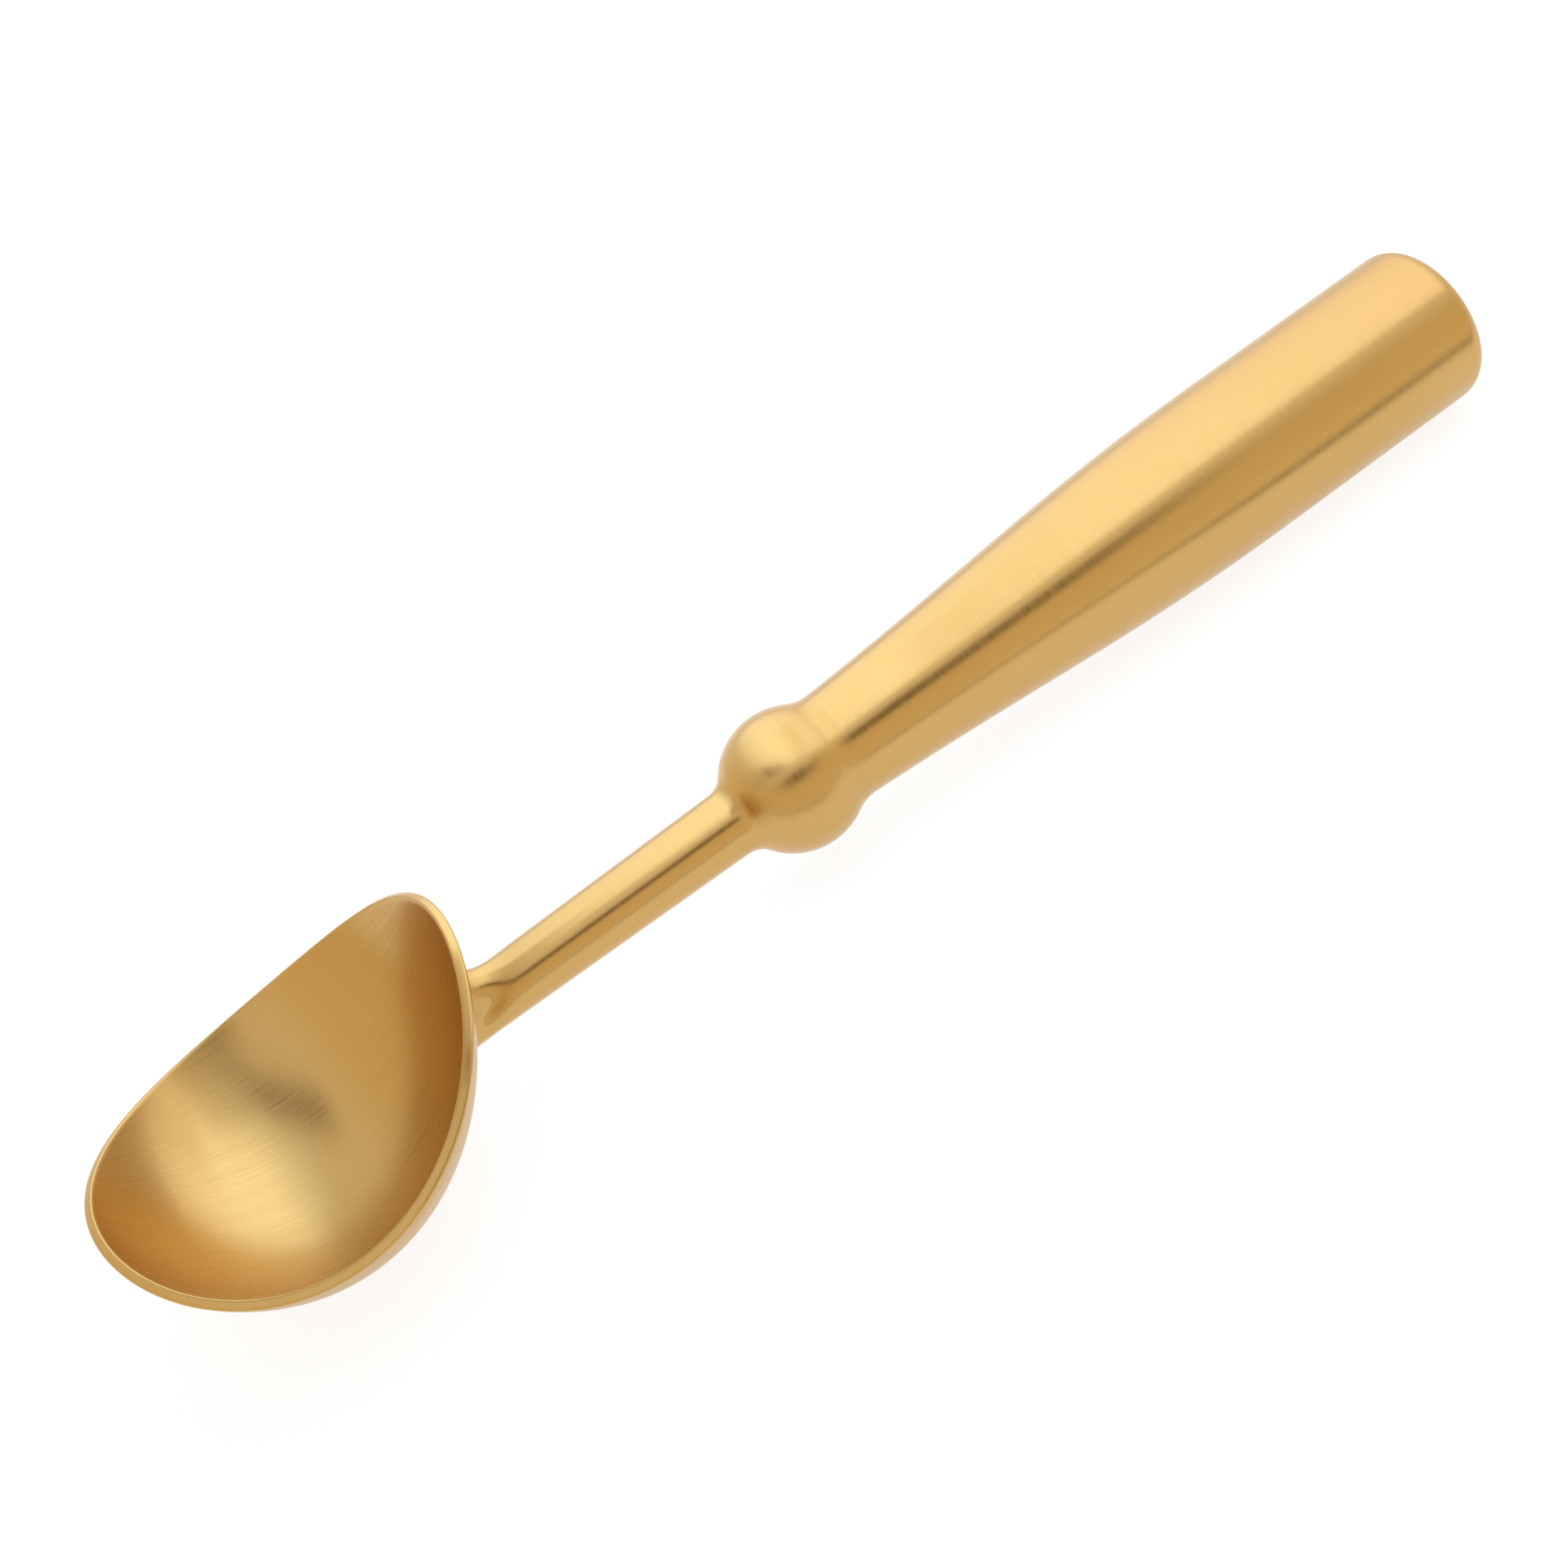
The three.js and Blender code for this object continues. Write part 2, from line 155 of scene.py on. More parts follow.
class ScoopBowlSizes(bpy.types.PropertyGroup):
    """Sizes of the drawn bowl."""

    reach: length("Reach", "From the ball's centre to the middle of the bowl", 69.3)
    length_radius: length("Length radius", "Half of the full ellipsoid along the handle", 27.55)
    width_radius: length("Width radius", "Half of the full ellipsoid across the handle", 32.5)
    depth_radius: length("Depth radius", "Half of the full ellipsoid from top to belly", 36.3)
    drop: length("Drop", "How far the belly hangs below the handle's line", 13.2)
    pitch: angle("Pitch", "Lean of the belly towards the front lip", 6.8)
    wall: length("Wall", "Thickness of the drawn sheet", 1.2)
    rim_arc: length("Rim arc", "Radius of the rim's dip, seen from the side", 42.9)
    rim_low: length("Rim low", "Lowest part of the rim above the handle's line", 1.0)
    rim_lead: length("Rim lead", "How far that part lies in front of the bowl's middle", 4.5)
    rim_rounding: length("Rim rounding", "Radius worn on both edges of the rim", 0.3)
    spokes: count("Spokes", "Faces around the bowl", 240, 24)
    rings: count("Rings", "Faces from the belly to the rim", 90, 12)


class ScoopNeckSizes(bpy.types.PropertyGroup):
    """Sizes of the neck and of the tang behind it."""

    bowl_radius: length("Bowl end", "Radius where the neck leaves its foot", 3.8)
    ball_radius: length("Ball end", "Radius where the neck meets the ball", 4.25)
    foot_length: length("Foot length", "Length of the flare on the back of the bowl", 7.0)
    flare_top: length("Flare above", "Spread of the foot on its upper side", 3.0)
    flare_side: length("Flare aside", "Spread of the foot on its two sides", 1.0)
    flare_bottom: length("Flare below", "Spread of the foot on its lower side", 0.3)
    dent: length("Dent", "Depth of the hammered dents on both sides of the foot", 1.3)
    dent_place: length("Dent place", "From the back of the bowl to the dents", 3.2)
    dent_run: length("Dent run", "Reach of a dent along the neck", 2.6)
    dent_lean: angle("Dent lean", "How far above the neck's middle a dent lies", 17.0)
    dent_spread: angle("Dent spread", "Reach of a dent around the neck", 34.0)
    tang_radius: length("Tang", "Radius of the tang inside the ball and the handle", 2.5)
    tang_chamfer: length("Tang chamfer", "Chamfer on the tang's end", 0.5)
    spokes: count("Spokes", "Faces around the neck", 128, 16)


class ScoopHandleSizes(bpy.types.PropertyGroup):
    """Sizes of the ball, the handle and its cap."""

    reach: length("Reach", "From the ball's centre to the flat of the butt", 102.7)
    ball_radius: length("Ball", "Radius of the ball", 9.0)
    neck_fillet: length("Neck fillet", "Hollow between the ball and the neck", 3.0)
    waist_fillet: length("Waist fillet", "Hollow between the ball and the handle", 6.0)
    spigot: length("Spigot", "Length of the ball's spigot in the handle", 2.5)
    waist_radius: length("Waist", "Radius of the handle behind the ball", 7.15)
    grip_radius: length("Grip", "Radius of the straight grip", 10.7)
    taper_end: length("Taper end", "From the ball's centre to the straight grip", 70.3)
    taper_slope: share("Taper slope", "Rise of the radius where the taper leaves the waist", 0.05)
    taper_lead: length("Taper lead", "Pull of the taper's curve at the waist", 26.3)
    taper_runout: length("Taper runout", "Pull of the taper's curve at the grip", 24.5)
    wall: length("Wall", "Thickness of the handle's tube", 1.4)
    butt_rounding: length("Butt rounding", "Radius of the butt's edge", 2.6)
    cap_band: length("Cap band", "Straight band of the cap", 1.2)
    cap_spigot: length("Cap spigot", "Length of the cap's spigot in the handle", 4.0)
    cap_wall: length("Cap wall", "Thickness of the cap", 1.5)
    seat_gap: length("Seat gap", "Room around a spigot", 0.3)
    spokes: count("Spokes", "Faces around the handle", 192, 16)
    arc_steps: count("Arc steps", "Faces along one arc", 28, 4)
    taper_steps: count("Taper steps", "Faces along the taper", 72, 8)


class ScoopFinish(bpy.types.PropertyGroup):
    """Colours and grain of the finishes."""

    gold: colour("Gold", "Satin gold coating", "#CAA362")
    gold_worn: colour("Worn gold", "The same coating where hands have rubbed it", "#CFA869")
    rim_gold: colour("Rim gold", "The coating on the ground rim", "#C4A25E")
    steel: colour("Steel", "Plain machined steel", "#B4B6B8")
    brush_spacing: length("Brush spacing", "Distance between two brush lines", 0.4)
    brush_run: length("Brush run", "Length of one brush line", 20.0)
    brush_depth: length("Brush depth", "Depth of a brush line", 0.012)
    patch: length("Patch", "Size of the paler and darker patches", 14.0)
    grit: length("Grit", "Size of the grains on the ground rim", 0.22)
    grit_depth: length("Grit depth", "Depth between those grains", 0.02)


class ScoopStudio(bpy.types.PropertyGroup):
    """The light, the floor and the camera."""

    view_height: angle("View height", "Camera's height above the handle's plane", 38.5)
    view_turn: angle("View turn", "Camera's turn towards the bowl", 10.0)
    view_roll: angle("View roll", "Camera's roll, which lays the scoop across the picture", 35.9047)
    view_distance: length("View distance", "From the camera to the point it looks at", 253.5)
    view_lead: length("View lead", "That point, in front of the ball's centre", 1.249)
    view_lift: length("View lift", "Camera's move up its own picture", 0.0975)
    lens: FloatProperty(name="Lens", description="Focal length", default=48.447, unit="CAMERA")
    sensor: FloatProperty(name="Sensor", description="Sensor width", default=36.0, unit="CAMERA")
    softbox: colour("Softbox", "Daylight of the softbox overhead", "#E2F0FF")
    softbox_far: colour("Softbox far", "Its light over the butt, dimmer and warmer", "#DADBE7")
    far_start: length("Far start", "From the scoop's middle to where that light sets in", 20.0)
    far_end: length("Far end", "From the scoop's middle to where it is full", 160.0)
    softbox_level: share("Softbox level", "Brightness of the softbox", 2.25, 4.0)
    softbox_dim: share("Softbox dim", "Share of it at the edge over the bowl", 0.55)
    softbox_fade: length("Softbox fade", "Width of the dimmer band along that edge", 60.0)
    softbox_back: share("Softbox back", "Share of it at the back", 0.85)
    softbox_height: length("Softbox height", "From the floor to the softbox", 100.0)
    softbox_front: length("Softbox front", "Its front edge, from the handle's line", 58.0)
    softbox_left: length("Softbox left", "Its edge over the bowl, from the ball's centre", 76.0)
    softbox_corner: length("Softbox corner", "How much its front left corner is cut off", 80.0)
    softbox_slant: length("Softbox slant", "How far its back edge is moved off the bowl", 50.0)
    softbox_width: length("Softbox width", "Its size along the handle", 310.0)
    softbox_depth: length("Softbox depth", "Its size across the handle", 450.0)
    divider_level: share("Divider level", "Brightness of the divider, of the room's", 1.35, 4.0)
    divider_place: length("Divider place", "White divider, from the ball's centre", 22.0)
    divider_drop: length("Divider drop", "How far it hangs down from the softbox", 52.0)
    divider_back: length("Divider back", "Its back end, from the handle's line", 36.0)
    card_height: length("Card height", "From the floor to the card over the bowl's front", 52.0)
    card_left: length("Card left", "The card's end over the bowl, from the ball's centre", 63.0)
    card_width: length("Card width", "Its size along the handle", 33.0)
    card_back: length("Card back", "Its back edge, from the handle's line", 4.0)
    card_depth: length("Card depth", "Its size across the handle", 30.0)
    card_dim: share("Card dim", "Brightness of its end over the bowl, of the room's", 0.55)
    # This dark also colours the painted shade line at the table's edge, in the floor that the metal
    # sees
    flag: colour("Flag", "Dark cloth that hides the camera from the metal", "#66553C")
    flag_gap: length("Flag gap", "From the softbox to the flag in front of it", 32.0)
    flag_width: length("Flag width", "Size of that flag", 58.0)
    flag_left: length("Flag left", "Its end on the bowl's side, from the ball's centre", 75.0)
    flag_length: length("Flag length", "Its size along the handle", 170.0)
    corner_flag_width: length("Corner flag width", "Size of the flag on the cut corner", 15.0)
    room: colour("Room", "The room to the sides and behind", "#FAFAFB")
    front: colour("Front", "The warm room on the camera's side", "#F3E5C7")
    room_level: share("Room level", "Brightness of the room", 1.0, 4.0)
    table_edge: length("Table edge", "Where the white paper ends, from the handle's line", 63.0)
    table_slant: length("Table slant", "How much nearer the paper ends under the butt", 24.0)
    slant_start: length("Slant start", "From the scoop's middle to where the edge bends", 40.0)
    slant_end: length("Slant end", "From the scoop's middle to where it is nearest", 90.0)
    floor: colour("Floor", "Pale floor", "#F4F3F1")
    floor_shade: share("Floor shade", "Light that the seen floor takes, for the shadow", 0.2)
    floor_glow: share("Floor glow", "Light that the seen floor gives of itself", 0.86)
    floor_size: length("Floor size", "Width of the floor", 6000.0)


class ScoopSettings(bpy.types.PropertyGroup):
    """All settings of the scoop."""

    bowl: PointerProperty(type=ScoopBowlSizes)
    neck: PointerProperty(type=ScoopNeckSizes)
    handle: PointerProperty(type=ScoopHandleSizes)
    finish: PointerProperty(type=ScoopFinish)
    studio: PointerProperty(type=ScoopStudio)


def settings():
    """The scene's settings of the scoop."""
    return bpy.context.scene.scoop


def handle_frame():
    """The frame with its origin at the ball's centre and X along the handle.

    The butt's place is rounded to a micrometre, so the pieces are kept that much inside the solids.
    """
    origin = BUTT_CENTRE - ALONG * (settings().handle.reach + ROUNDING)
    placed = Matrix((ALONG, ACROSS, UP)).transposed().to_4x4()
    placed.translation = origin
    return placed


# Meshes

def solve_rising(rising, low, high):
    """Finds where a rising function passes zero, for every entry of an array at once."""
    for _ in range(SOLVER_STEPS):
        middle = (low + high) / 2
        below = rising(middle) < 0
        low = np.where(below, middle, low)
        high = np.where(below, high, middle)
    return (low + high) / 2


def bowl_centre(sizes):
    """Middle of the full ellipsoid, in the handle's frame."""
    half_height = math.hypot(
        sizes.length_radius * math.sin(sizes.pitch), sizes.depth_radius * math.cos(sizes.pitch)
    )
    return np.array([-sizes.reach, 0.0, half_height - sizes.drop])


def bowl_radii(sizes):
    """Radii of the full ellipsoid along, across and down."""
    return np.array([sizes.length_radius, sizes.width_radius, sizes.depth_radius])


def bowl_points(sizes, spoke, polar, inset):
    """Points of the bowl: the spoke's angle is zero at the neck, the polar angle at the belly."""
    out = np.stack(
        [np.sin(polar) * np.cos(spoke), np.sin(polar) * np.sin(spoke), -np.cos(polar)], -1
    )
    radii = bowl_radii(sizes)
    normal = out / radii
    normal /= np.linalg.norm(normal, axis=-1, keepdims=True)
    x, y, z = np.moveaxis(out * radii - normal * inset, -1, 0)
    cos, sin = math.cos(sizes.pitch), math.sin(sizes.pitch)
    return np.stack([x * cos + z * sin, y, z * cos - x * sin], -1) + bowl_centre(sizes)


def rim_height(sizes, x):
    """Height of the rim's arc above a place along the handle."""
    ahead = np.minimum(np.abs(x + sizes.reach + sizes.rim_lead), sizes.rim_arc)
    return sizes.rim_low + sizes.rim_arc - np.sqrt(sizes.rim_arc ** 2 - ahead ** 2)


def rim_polar(sizes, spoke):
    """Polar angle at which each spoke meets the rim's arc."""

    def above_rim(polar):
        point = bowl_points(sizes, spoke, polar, 0.0)
        return point[..., 2] - rim_height(sizes, point[..., 0])

    low = np.zeros_like(spoke)
    return solve_rising(above_rim, low, low + math.pi / 2 + sizes.pitch)


def bowl_back(sizes, y, z):
    """Where the back of the bowl is met by a line along the handle."""
    centre = bowl_centre(sizes)
    cos, sin = math.cos(sizes.pitch), math.sin(sizes.pitch)
    rise = z - centre[2]
    long, wide, deep = bowl_radii(sizes)
    square = (cos / long) ** 2 + (sin / deep) ** 2
    slant = rise * sin * cos * (1 / deep ** 2 - 1 / long ** 2)
    rest = (rise * sin / long) ** 2 + (rise * cos / deep) ** 2 + (y / wide) ** 2 - 1
    return centre[0] + (np.sqrt(slant ** 2 - square * rest) - slant) / square


def mesh_of_rings(name, rings, uv_rows):
    """Joins rings of points, whose first and last close to a point, into one smooth closed mesh.

    The points are in the handle's frame. uv_rows gives each point its place in the brush lines.
    """
    rows, spokes = rings.shape[:2]
    index = np.arange(rows * spokes).reshape(rows, spokes)
    beside = np.roll(index, -1, axis=1)
    quads = np.stack([index[:-1], beside[:-1], beside[1:], index[1:]], -1).reshape(-1, 4)
    mesh = bpy.data.meshes.new(name)
    mesh.from_pydata(rings.reshape(-1, 3), [], quads.tolist())
    layer = mesh.uv_layers.new(name="brush")
    corners = np.zeros(len(mesh.loops), np.int32)
    mesh.loops.foreach_get("vertex_index", corners)
    layer.uv.foreach_set("vector", uv_rows.reshape(-1, 2)[corners].astype(np.float32).ravel())
    tidy(mesh)
    mesh.transform(handle_frame())
    return mesh


def tidy(mesh):
    """Welds doubles, turns the faces outwards and smooths all but the hard edges."""
    work = bmesh.new()
    work.from_mesh(mesh)
    bmesh.ops.remove_doubles(work, verts=work.verts, dist=WELD)
    bmesh.ops.dissolve_degenerate(work, edges=work.edges, dist=WELD / 10)
    if work.calc_volume(signed=True) < 0:
        bmesh.ops.reverse_faces(work, faces=work.faces)
    work.to_mesh(mesh)
    work.free()
    mesh.shade_smooth()
    mesh.set_sharp_from_angle(angle=SHARP_ANGLE)


def bowl_section(sizes):
    """Way round the wall: (share of the way to the rim, step back from the rim, inset) per ring."""
    edge = sizes.rim_rounding
    wall = sizes.wall
    turns = np.linspace(0, math.pi / 2, RIM_STEPS + 1)
    section = [(ring / sizes.rings, edge, 0.0) for ring in range(sizes.rings)]
    section += [(1.0, edge * (1 - math.sin(t)), edge * (1 - math.cos(t))) for t in turns]
    section += [(1.0, 0.0, wall / 2)]
    section += [(1.0, edge * (1 - math.cos(t)), wall - edge * (1 - math.sin(t))) for t in turns]
    section += [(ring / sizes.rings, edge, wall) for ring in reversed(range(sizes.rings))]
    return section


def bowl_mesh():
    """The drawn shell, with a rounded rim cut square to its wall."""
    sizes = settings().bowl
    long, wide, deep = bowl_radii(sizes)
    spoke = np.linspace(0, 2 * math.pi, sizes.spokes, endpoint=False)
    rim = rim_polar(sizes, spoke)
    climb = np.sqrt(
        (long * np.cos(rim) * np.cos(spoke)) ** 2
        + (wide * np.cos(rim) * np.sin(spoke)) ** 2
        + (deep * np.sin(rim)) ** 2
    )
    rings = np.array([
        bowl_points(sizes, spoke, (rim - back / climb) * part, inset)
        for part, back, inset in bowl_section(sizes)
    ])
    x, y, z = np.moveaxis((rings - bowl_centre(sizes)) / (long, wide, deep), -1, 0)
    lengthwise = np.arctan2(x, -z) * long
    sideways = np.arctan2(y, -z) * wide
    mesh = mesh_of_rings("bowl_shell", rings, np.stack([sideways, lengthwise], -1))
    paint_rim(mesh, sizes)
    return mesh


def paint_rim(mesh, sizes):
    """Gives the faces of the rim the second material."""
    to_handle = handle_frame().inverted()
    for face in mesh.polygons:
        point = to_handle @ face.center
        rise = (to_handle.to_3x3() @ face.normal).z
        height = point.z - float(rim_height(sizes, np.array(point.x)))
        face.material_index = int(height > -RIM_SHARE * sizes.rim_rounding and rise > RIM_RISE)


def dent_foot(rings, sizes, bowl):
    """Dents both sides of the neck's foot, and keeps its distance from the bowl."""
    x, y, z = np.moveaxis(rings, -1, 0)
    reach = x - bowl_back(bowl, y, z)
    lean = np.arctan2(z, np.abs(y))
    along = (reach - sizes.dent_place) / sizes.dent_run
    around = (lean - sizes.dent_lean) / sizes.dent_spread
    depth = sizes.dent * np.exp(-along ** 2 - around ** 2)
    kept = 1 - depth / (sizes.bowl_radius + sizes.flare_side)
    return np.stack([reach + bowl_back(bowl, y * kept, z * kept), y * kept, z * kept], -1)


def neck_mesh():
    """The neck, from its saddle on the bowl to the chamfered end of the tang."""
    sizes, bowl, handle = settings().neck, settings().bowl, settings().handle
    front = ball_front(handle, sizes)
    tang_end = (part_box("neck_rod")[1].x - handle_frame().translation.x) / ALONG.x
    turn = np.linspace(0, 2 * math.pi, sizes.spokes, endpoint=False)
    cos, sin = np.cos(turn), np.sin(turn)
    rising = (sizes.flare_top - sizes.flare_bottom) / 2
    bulge = (sizes.flare_top + sizes.flare_bottom) / 2 - sizes.flare_side
    flare = sizes.flare_side + rising * sin + bulge * sin ** 2

    def ring(radius, place):
        return np.stack([place + 0 * turn, radius * cos, radius * sin], -1)

    def ring_on_bowl(radius, ahead):
        return ring(radius, bowl_back(bowl, radius * cos, radius * sin) + ahead)

    rings = []
    for part in np.linspace(0, 1, SADDLE_RINGS + 1)[:-1]:
        rings.append(ring_on_bowl(part * (sizes.bowl_radius + flare), 0.0))
    for bend in np.linspace(0, math.pi / 2, FOOT_RINGS + 1):
        radius = sizes.bowl_radius + flare * (1 - math.sin(bend))
        rings.append(ring_on_bowl(radius, sizes.foot_length * (1 - math.cos(bend))))
    foot_end = rings[-1][:, 0]
    for part in np.linspace(0, 1, SHAFT_RINGS + 1)[1:]:
        radius = sizes.bowl_radius + (sizes.ball_radius - sizes.bowl_radius) * part
        rings.append(ring(radius, foot_end + (front - foot_end) * part))
    rings += [
        ring(sizes.tang_radius, front),
        ring(sizes.tang_radius, tang_end - sizes.tang_chamfer),
        ring(sizes.tang_radius - sizes.tang_chamfer, tang_end),
        ring(0.0, tang_end),
    ]
    rings = dent_foot(np.array(rings), sizes, bowl)
    around = np.linspace(0, 1, sizes.spokes) * 2 * math.pi * sizes.ball_radius
    brush = np.stack([rings[..., 0], np.broadcast_to(around, rings.shape[:2])], -1)
    return mesh_of_rings("neck_shaft", rings, brush)


# Outlines of the turned pieces, as (place along the handle, radius)

def arc(centre, radius, start, end, steps):
    """Points of an arc from one angle to another, in radians from the handle's line."""
    turns = np.linspace(start, end, steps + 1)
    return [(centre[0] + radius * math.cos(t), centre[1] + radius * math.sin(t)) for t in turns]


def ball_front(handle, neck):
    """Where the ball's front hollow meets the neck."""
    fillet = handle.neck_fillet
    return -math.sqrt((handle.ball_radius + fillet) ** 2 - (neck.ball_radius + fillet) ** 2)


def ball_back(handle):
    """Where the hollow behind the ball is narrowest."""
    fillet = handle.waist_fillet
    return math.sqrt((handle.ball_radius + fillet) ** 2 - (handle.waist_radius + fillet) ** 2)


def sleeve_start(handle):
    """Where the hollow behind the ball has the slope of the handle's taper: (place, radius)."""
    lean = math.atan(handle.taper_slope)
    return (
        ball_back(handle) + handle.waist_fillet * math.sin(lean),
        handle.waist_radius + handle.waist_fillet * (1 - math.cos(lean)),
    )


def bezier(points, steps):
    """Points of a cubic curve."""
    t = np.linspace(0, 1, steps + 1)[:, None]
    a, b, c, d = (np.array(p) for p in points)
    curve = a * (1 - t) ** 3 + 3 * b * t * (1 - t) ** 2 + 3 * c * t ** 2 * (1 - t) + d * t ** 3
    return [tuple(p) for p in curve]


def ball_outline():
    """The ball with a hollow on both sides, a bore for the tang and a spigot in the handle."""
    handle, neck = settings().handle, settings().neck
    front, back = ball_front(handle, neck), ball_back(handle)
    neck_middle = (front, neck.ball_radius + handle.neck_fillet)
    waist_middle = (back, handle.waist_radius + handle.waist_fillet)
    neck_turn = math.atan2(neck_middle[1], neck_middle[0])
    waist_turn = math.atan2(waist_middle[1], waist_middle[0])
    waist_end = math.atan(handle.taper_slope) - math.pi / 2
    spigot_start = sleeve_start(handle)[0]
    spigot_end = back + handle.spigot
    spigot_radius = handle.waist_radius - handle.wall - handle.seat_gap
    bore = neck.tang_radius + handle.seat_gap
    steps = handle.arc_steps
    outline = [(front, bore)]
    outline += arc(neck_middle, handle.neck_fillet, -math.pi / 2, neck_turn - math.pi, steps)
    outline += arc((0.0, 0.0), handle.ball_radius, neck_turn, waist_turn, 2 * steps)[1:]
    outline += arc(waist_middle, handle.waist_fillet, waist_turn - math.pi, waist_end, steps)[1:]
    outline += [(spigot_start, spigot_radius), (spigot_end, spigot_radius)]
    outline += [(spigot_end, bore), (front, bore)]
    return outline


def sleeve_outline():
    """The tube of the handle, swaged to the waist, with an even wall."""
    handle = settings().handle
    place, waist = sleeve_start(handle)
    end = handle.reach - handle.butt_rounding - handle.cap_band

    def taper(inset):
        return bezier(
            [
                (place, waist - inset),
                (place + handle.taper_lead, waist - inset + handle.taper_lead * handle.taper_slope),
                (handle.taper_end - handle.taper_runout, handle.grip_radius - inset),
                (handle.taper_end, handle.grip_radius - inset),
            ],
            handle.taper_steps,
        )

    outline = taper(0.0)
    outline += [(end, handle.grip_radius), (end, handle.grip_radius - handle.wall)]
    outline += reversed(taper(handle.wall))
    return outline + outline[:1]


def cap_outline():
    """The pressed cup that closes the handle: flat end, rounded edge and spigot."""
    handle = settings().handle
    rounding_start = handle.reach - handle.butt_rounding
    start = rounding_start - handle.cap_band
    spigot_start = start - handle.cap_spigot
    spigot_radius = handle.grip_radius - handle.wall - handle.seat_gap
    inner_radius = spigot_radius - handle.cap_wall
    inner_face = handle.reach - handle.cap_wall
    corner = (rounding_start, handle.grip_radius - handle.butt_rounding)
    outline = [(inner_face, 0.0), (inner_face, inner_radius)]
    outline += [(spigot_start, inner_radius), (spigot_start, spigot_radius)]
    outline += [(start, spigot_radius), (start, handle.grip_radius)]
    outline += arc(corner, handle.butt_rounding, math.pi / 2, 0.0, handle.arc_steps)
    outline += [(handle.reach, 0.0)]
    return outline


# Nodes

def add_node(tree, kind, options=None, inputs=None):
    """Adds a node, sets its options, and sets or links its inputs.

    A node that is given as an input stands for the first of its outputs that is in use.
    """
    node = tree.nodes.new(kind)
    for name, value in (options or {}).items():
        setattr(node, name, value)
    for key, value in (inputs or {}).items():
        if isinstance(value, bpy.types.Node):
            value = next(socket for socket in value.outputs if socket.enabled)
        if isinstance(value, bpy.types.NodeSocket):
            tree.links.new(value, node.inputs[key])
        else:
            node.inputs[key].default_value = value
    return node


def turning_tree():
    """Geometry Nodes that turn an outline of (place, radius) about X into a closed mesh."""
    tree = bpy.data.node_groups.new("turn_outline", "GeometryNodeTree")
    for name, way, kind in (
        ("Outline", "INPUT", "NodeSocketGeometry"),
        ("Spokes", "INPUT", "NodeSocketInt"),
        ("Weld", "INPUT", "NodeSocketFloat"),
        ("Finish", "INPUT", "NodeSocketMaterial"),
        ("Turned", "OUTPUT", "NodeSocketGeometry"),
    ):
        tree.interface.new_socket(name, in_out=way, socket_type=kind)
    given = add_node(tree, "NodeGroupInput").outputs
    outline, spokes = given["Outline"], given["Spokes"]
    # A grid with a row for each point of the outline, and a column for each spoke and the seam
    size = add_node(tree, "GeometryNodeAttributeDomainSize", inputs={"Geometry": outline}).outputs
    columns = add_node(tree, "ShaderNodeMath", {"operation": "ADD"}, {0: spokes, 1: 1.0})
    sides = {"Vertices X": size["Point Count"], "Vertices Y": columns}
    grid = add_node(tree, "GeometryNodeMeshGrid", inputs=sides).outputs
    # Each point's row in the outline and its turn about X
    index = add_node(tree, "GeometryNodeInputIndex")
    step = add_node(tree, "ShaderNodeMath", {"operation": "DIVIDE"}, {0: index, 1: columns})
    row = add_node(tree, "ShaderNodeMath", {"operation": "FLOOR"}, {0: step})
    spoke = add_node(tree, "ShaderNodeMath", {"operation": "MODULO"}, {0: index, 1: columns})
    part = add_node(tree, "ShaderNodeMath", {"operation": "DIVIDE"}, {0: spoke, 1: spokes})
    turn = add_node(tree, "ShaderNodeMath", {"operation": "MULTIPLY"}, {0: part, 1: 2 * math.pi})
    position = add_node(tree, "GeometryNodeInputPosition")
    point = add_node(
        tree,
        "GeometryNodeSampleIndex",
        {"data_type": "FLOAT_VECTOR", "domain": "POINT"},
        {"Geometry": outline, "Value": position, "Index": row},
    )
    drawn = add_node(tree, "ShaderNodeSeparateXYZ", inputs={0: point}).outputs
    cos = add_node(tree, "ShaderNodeMath", {"operation": "COSINE"}, {0: turn})
    sin = add_node(tree, "ShaderNodeMath", {"operation": "SINE"}, {0: turn})
    y = add_node(tree, "ShaderNodeMath", {"operation": "MULTIPLY"}, {0: drawn["Y"], 1: cos})
    z = add_node(tree, "ShaderNodeMath", {"operation": "MULTIPLY"}, {0: drawn["Y"], 1: sin})
    place = add_node(tree, "ShaderNodeCombineXYZ", inputs={0: drawn["X"], 1: y, 2: z})
    # The grid gets its brush lines before it is bent to the turned shape and closed
    shape = add_node(
        tree,
        "GeometryNodeStoreNamedAttribute",
        {"data_type": "FLOAT2", "domain": "CORNER"},
        {"Geometry": grid["Mesh"], "Name": "brush", "Value": grid["UV Map"]},
    )
    for kind, more in (
        ("GeometryNodeSetPosition", {"Position": place}),
        ("GeometryNodeMergeByDistance", {"Distance": given["Weld"]}),
        ("GeometryNodeRealizeInstances", {}),
        ("GeometryNodeSetMaterial", {"Material": given["Finish"]}),
    ):
        shape = add_node(tree, kind, inputs={"Geometry": shape, **more})
    add_node(tree, "NodeGroupOutput", inputs={"Turned": shape})
    return tree


